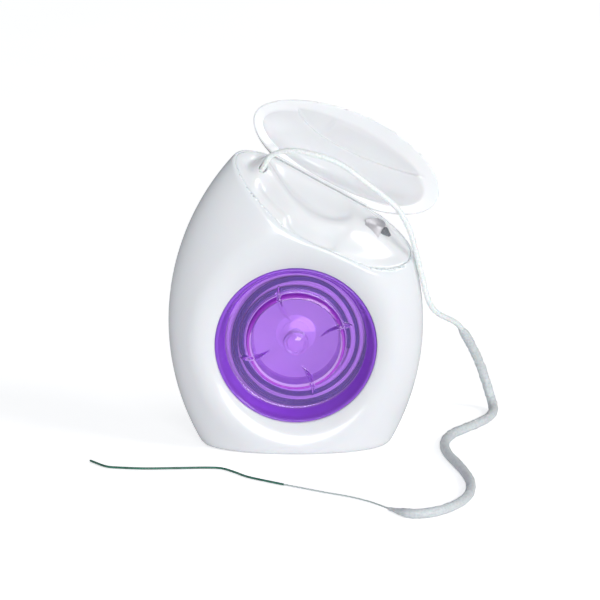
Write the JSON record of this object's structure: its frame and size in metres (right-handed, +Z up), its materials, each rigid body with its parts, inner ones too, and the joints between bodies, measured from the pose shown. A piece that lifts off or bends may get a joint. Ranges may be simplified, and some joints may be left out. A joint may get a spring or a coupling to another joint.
{
  "type": "dental floss dispenser",
  "caption": "Egg-shaped dispenser with a flip-top lid, a turning see-through dial, a steel cutter and a strand of floss drawn out over its shoulder.",
  "frame": {"origin": "centre of the flat base, on the surface that the dispenser stands on", "axes": "+Z up, -Y out of the dial towards the viewer, +X to the viewer's right, where the deck slopes down"},
  "size_m": [0.0826, 0.0681, 0.0706],
  "materials": {
    "shell": "glossy white",
    "hinge": "satin white",
    "steel": "bright, finely brushed",
    "purple": "glossy, see-through purple",
    "wheel": "satin white",
    "floss": "waxed white thread",
    "sponge": "spongy, pale grey-white",
    "threader": "stiff dark green thread"
  },
  "bodies": {
    "housing": {"front_shell": "shell", "rear_shell": "shell", "top_deck": "shell", "cutter_blade": "steel", "spindle": "wheel", "living_hinge": "hinge", "floss_feed": "floss", "floss_arch": "floss", "floss_run": "floss", "floss_sponge": "sponge", "floss_tail": "floss", "floss_threader": "threader"},
    "lid": {"lid": "shell"},
    "dial": {"dial_cover": "purple", "spool_wheel": "wheel", "floss_coil": "floss", "threader_coil": "threader"}
  },
  "joints": [
    {"name": "lid_hinge", "type": "hinge", "parent": "housing", "child": "lid", "pos_m": [0.005, 0.0049, 0.0539], "axis": [0.8695, 0, -0.4939], "range_deg": [-8, 124], "deforming": ["floss_arch"]},
    {"name": "dial_spin", "type": "hinge", "parent": "housing", "child": "dial", "pos_m": [0, 0, 0.0225], "axis": [0, -1, 0], "continuous": true}
  ]
}
